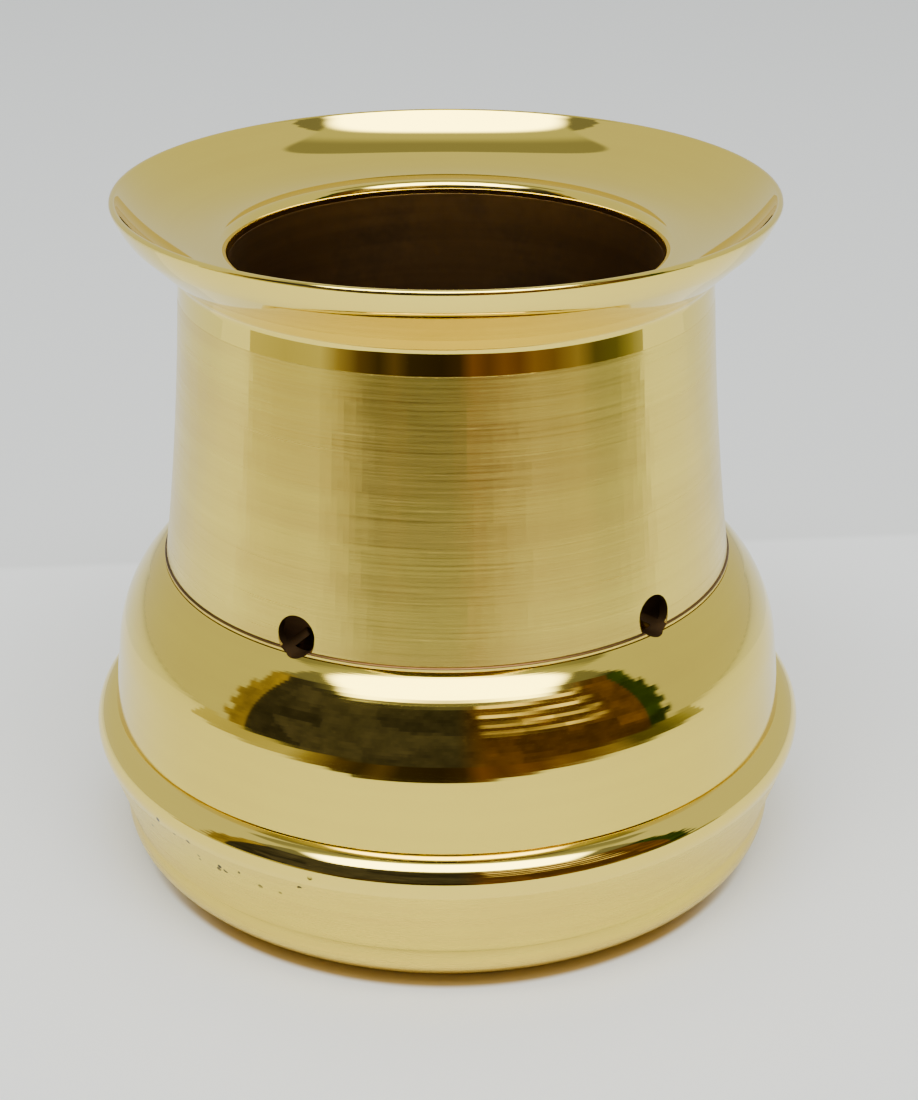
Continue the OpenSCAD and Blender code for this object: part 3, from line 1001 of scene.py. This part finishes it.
def painted_foot_shadow_and_glow(tree, place, y):
    """1 in a thin crescent round the front of the foot, where the floor takes a painted shadow and painted
    golden light.
    """
    off_centre = (0, 1.2 * MM, 0)
    shifted = add(tree, "ShaderNodeVectorMath", {0: place, 1: off_centre}, operation="ADD").outputs[0]
    reach = add(tree, "ShaderNodeVectorMath", {0: shifted}, operation="LENGTH").outputs["Value"]
    ring = ramped(tree, reach, FOOT_R + 0.7 * MM, FOOT_R + 2.1 * MM, to_low=1.0, to_high=0.0)
    return product(tree, ring, ramped(tree, y, low=-14 * MM, high=-44 * MM))


# ---- What the brass mirrors -------------------------------------------------

LIGHT_Z = 1.6
GLARE_NEAR_Y, GLARE_NEAR_HALF = -0.06 * LIGHT_Z, 0.56 * LIGHT_Z    # the near end, and half its width
GLARE_FAR_Y, GLARE_FAR_HALF = -0.85 * LIGHT_Z, 0.82 * LIGHT_Z      # the far end, and half its width

ROOM_FLOOR_END = 9.0
ROOM_FLOOR = (    # degrees to the right of the front, how near the floor starts there, its colour
    (-84, 0.30, (0.80, 0.76, 0.50)),
    (-66, 0.30, (0.68, 0.64, 0.40)),
    (-50, 0.30, (0.74, 0.70, 0.48)),
    (-42, 0.29, (0.35, 0.28, 0.15)),
    (-34, 0.26, (0.12, 0.08, 0.045)),
    (-26, 0.22, (0.05, 0.035, 0.02)),
    (-20, 0.215, (0.12, 0.08, 0.05)),
    (-14, 0.215, (0.04, 0.028, 0.016)),
    (-2, 0.215, (0.03, 0.02, 0.012)),
    (5, 0.215, (0.05, 0.03, 0.017)),
    (10, 0.22, (0.20, 0.09, 0.05)),
    (16, 0.24, (0.13, 0.06, 0.035)),
    (22, 0.26, (0.21, 0.10, 0.06)),
    (28, 0.28, (0.16, 0.075, 0.04)),
    (34, 0.30, (0.26, 0.15, 0.075)),
    (42, 0.30, (0.20, 0.12, 0.05)),
    (52, 0.30, (0.34, 0.26, 0.12)),
    (60, 0.30, (0.11, 0.10, 0.04)),
    (70, 0.30, (0.14, 0.14, 0.055)),
    (76, 0.30, (0.30, 0.29, 0.15)),
    (84, 0.30, (0.60, 0.60, 0.40)),
)


def reflection_card(name, bm, glow):
    """A sheet that only shows in reflections; glow adds its shader to a node tree."""
    card = linked(name, bm)
    material, tree = new_material(name)
    tree.links.new(glow(tree), tree.nodes["Material Output"].inputs["Surface"])
    card.data.materials.append(material)
    card.visible_camera = False
    card.visible_diffuse = False
    card.visible_shadow = False
    card.visible_transmission = False


def emission(tree, colour, strength):
    return add(tree, "ShaderNodeEmission", {"Color": colour, "Strength": strength}).outputs[0]


def make_room_floor():
    """A fan of dark floor and furniture past the table's edge."""
    bm = bmesh.new()
    edges = []
    for azimuth, start, _ in ROOM_FLOOR:
        way = Vector((math.sin(math.radians(azimuth)), -math.cos(math.radians(azimuth)), 0))
        edges.append([bm.verts.new(way * reach + Vector((0, 0, MM))) for reach in (start, ROOM_FLOOR_END)])
    for (near_left, far_left), (near_right, far_right) in zip(edges, edges[1:]):
        bm.faces.new((near_left, near_right, far_right, far_left))
    reflection_card("room_floor", bm, room_floor_glow)


def room_floor_glow(tree):
    """The colours of ROOM_FLOOR, which run into each other by azimuth."""
    x, y, _ = split(tree, object_place(tree))
    azimuth = maths(tree, "ARCTAN2", x, product(tree, y, -1))
    first, last = ROOM_FLOOR[0][0], ROOM_FLOOR[-1][0]
    along = ramped(tree, azimuth, math.radians(first), math.radians(last), easing="LINEAR")
    colours = add(tree, "ShaderNodeValToRGB", {"Fac": along})
    stops = colours.color_ramp.elements
    stops[0].color, stops[1].color = rgb(*ROOM_FLOOR[0][2]), rgb(*ROOM_FLOOR[-1][2])
    for degrees, _, colour in ROOM_FLOOR[1:-1]:
        stops.new((degrees - first) / (last - first)).color = rgb(*colour)
    return emission(tree, colours.outputs["Color"], 1.0)


def make_world():
    """Pale walls, and in front of the stove the darker room that its brass mirrors.

    Only reflections see the room. It is laid out by azimuth, in degrees to the right of
    the front, and by elevation.
    """
    world = bpy.data.worlds.new("studio")
    bpy.context.scene.world = world
    world.use_nodes = True
    tree = world.node_tree
    tree.nodes.clear()
    x, y, z = split(tree, add(tree, "ShaderNodeTexCoord").outputs["Generated"])
    azimuth = product(tree, maths(tree, "ARCTAN2", x, product(tree, y, -1)), math.degrees(1))
    elevation = product(tree, maths(tree, "ARCSINE", z), math.degrees(1))
    seen = furnished(tree, azimuth, elevation)
    seen = mixed(tree, ramped(tree, elevation, low=44, high=49), seen, rgb(0.24, 0.25, 0.31))
    seen = mixed(tree, side_walls(tree, azimuth, elevation), seen, rgb(0.84, 0.85, 0.82))
    shade = mixed(tree, ramped(tree, y, low=-0.05, high=0.12), rgb(0.74, 0.76, 0.66), rgb(0.33, 0.34, 0.36))
    seen = mixed(tree, overhead(tree, x, y, elevation), seen, shade)
    glossy = add(tree, "ShaderNodeLightPath").outputs["Is Glossy Ray"]
    shown = mixed(tree, glossy, rgb(0.84, 0.855, 0.86), seen)
    background = add(tree, "ShaderNodeBackground", {"Color": shown, "Strength": 1.0})
    add(tree, "ShaderNodeOutputWorld", {"Surface": background.outputs[0]})


def side_walls(tree, azimuth, elevation):
    """1 on the pale walls beside the room, whose edges are ragged from one course to the next."""
    course = maths(tree, "SNAP", elevation, 4.0)
    ragged = add(tree, "ShaderNodeTexWhiteNoise", {"W": course}, noise_dimensions="1D").outputs["Value"]
    edge = total(tree, maths(tree, "ABSOLUTE", azimuth), product(tree, ragged, 5.0))
    return ramped(tree, edge, low=77, high=79)


def overhead(tree, x, y, elevation):
    """1 in a patch of ceiling with rounded corners, over the stove and in front of it."""
    half_width, depth = 0.50, 0.31
    aside = maths(tree, "DIVIDE", maths(tree, "ABSOLUTE", x), half_width)
    back = maths(tree, "DIVIDE", maths(tree, "MAXIMUM", y, 0.0), depth)
    spread = total(tree, maths(tree, "POWER", aside, 4.0), maths(tree, "POWER", back, 6.0))
    return product(tree, ramped(tree, spread, low=1.0, high=0.75), ramped(tree, elevation, low=52, high=56))


def furnished(tree, azimuth, elevation):
    """The dark room: grey on the left, brown with lit strips on the right, in blocks like furniture."""
    grey, brown = rgb(0.062, 0.058, 0.085), rgb(0.15, 0.075, 0.045)
    yellow, green = rgb(0.50, 0.38, 0.12), rgb(0.03, 0.06, 0.025)
    block_width, block_height, most_bend = 17.0, 9.0, 20.0
    colour = mixed(tree, ramped(tree, azimuth, low=2, high=14), grey, brown)
    colour = mixed(tree, ramped(tree, azimuth, low=68, high=69), colour, green)
    colour = mixed(tree, ramped(tree, azimuth, low=-68, high=-69), colour, yellow)
    flat = add(tree, "ShaderNodeCombineXYZ", {"X": azimuth, "Y": elevation}).outputs[0]
    bend = product(tree, noise(tree, flat, 0.05, detail=2.0), most_bend)
    cell = add(tree, "ShaderNodeCombineXYZ", {
        "X": maths(tree, "SNAP", total(tree, azimuth, bend), block_width),
        "Y": maths(tree, "SNAP", total(tree, elevation, bend), block_height),
    })
    blocks = add(tree, "ShaderNodeTexWhiteNoise", {"Vector": cell.outputs[0]}).outputs["Value"]
    litter = noise(tree, flat, 0.16, detail=5.0, roughness=0.65)
    shade = product(tree, ramped(tree, blocks, low=0.1, high=0.9, to_low=0.60, to_high=1.25),
                    ramped(tree, litter, low=0.3, high=0.7, to_low=0.7, to_high=1.35))
    shaded = add(tree, "ShaderNodeVectorMath", {0: colour, "Scale": shade}, operation="SCALE").outputs[0]
    return mixed(tree, lit_strips(tree, azimuth, elevation, blocks), shaded, rgb(2.4, 2.0, 1.4))


def lit_strips(tree, azimuth, elevation, blocks):
    """1 on slightly slanting strips of light, high on the right of the room."""
    slanted = total(tree, elevation, product(tree, azimuth, 0.07))
    strips = maths(tree, "PINGPONG", slanted, 3.6)
    return product(
        tree,
        ramped(tree, strips, low=2.4, high=2.8),
        ramped(tree, azimuth, low=10, high=14),
        ramped(tree, azimuth, low=58, high=50),
        ramped(tree, slanted, low=49, high=48),
        ramped(tree, slanted, low=24, high=26),
        ramped(tree, blocks, low=0.1, high=0.5, to_low=0.45),
    )


def make_lights():
    """A ceiling light, high over the table and in front of the stove, and its glare in the brass."""
    data = bpy.data.lights.new("ceiling_light", "AREA")
    data.shape = "RECTANGLE"
    data.size = 1.3 * LIGHT_Z
    data.size_y = 0.5 * LIGHT_Z
    data.energy = 32.0
    light = bpy.data.objects.new("ceiling_light", data)
    bpy.context.scene.collection.objects.link(light)
    light.location = (0.0, -0.40 * LIGHT_Z, LIGHT_Z)
    light.visible_camera = False
    light.visible_glossy = False
    corners = (
        (-GLARE_FAR_HALF, GLARE_FAR_Y, LIGHT_Z),
        (GLARE_FAR_HALF, GLARE_FAR_Y, LIGHT_Z),
        (GLARE_NEAR_HALF, GLARE_NEAR_Y, LIGHT_Z),
        (-GLARE_NEAR_HALF, GLARE_NEAR_Y, LIGHT_Z),
    )
    bm = bmesh.new()
    bm.faces.new([bm.verts.new(corner) for corner in corners])
    reflection_card("ceiling_light_glare", bm, glare_glow)


def glare_glow(tree):
    """White that fades to nothing towards a rounded edge, as a diffuser's glow does."""
    x, y, _ = split(tree, object_place(tree))
    half_width = ramped(tree, y, GLARE_NEAR_Y, GLARE_FAR_Y, GLARE_NEAR_HALF, GLARE_FAR_HALF, easing="LINEAR")
    aside = maths(tree, "ABSOLUTE", maths(tree, "DIVIDE", x, half_width))
    from_middle = maths(tree, "SUBTRACT", y, (GLARE_NEAR_Y + GLARE_FAR_Y) / 2)
    half_length = (GLARE_NEAR_Y - GLARE_FAR_Y) / 2
    along = maths(tree, "ABSOLUTE", maths(tree, "DIVIDE", from_middle, half_length))
    spread = total(tree, maths(tree, "POWER", aside, 4.0), maths(tree, "POWER", along, 4.0))
    shown = maths(tree, "POWER", ramped(tree, spread, low=1.0, high=0.30), 2.0)
    clear = add(tree, "ShaderNodeBsdfTransparent").outputs[0]
    white = emission(tree, rgb(1.0, 1.0, 1.0), 13.0)
    return add(tree, "ShaderNodeMixShader", {0: shown, 1: clear, 2: white}).outputs[0]


# ---- Camera and sizes -------------------------------------------------------

def make_camera():
    """Looks down on the stove from the front, and a touch to the right."""
    data = bpy.data.cameras.new("camera")
    camera = bpy.data.objects.new("camera", data)
    bpy.context.scene.collection.objects.link(camera)
    data.sensor_width = 36.0
    data.lens = 66.37
    down, right = 25.48, 0.37
    camera.location = (0.0, -0.312, 0.1978)
    camera.rotation_euler = (math.radians(90 - down), 0.0, math.radians(-right))
    bpy.context.scene.camera = camera


make_camera()
make_world()
make_floor()
make_lights()
make_room_floor()
make_collar()
make_liner()
make_barrel()
make_baffle()
make_dome()
make_bead()
make_bowl()
make_cup()
make_burner_top()
make_wadding()
make_gauze()
make_gauze_ring()
for node in ("locating_ring", "burner_seat", "seat_screws"):
    dress(node, plain_brass)
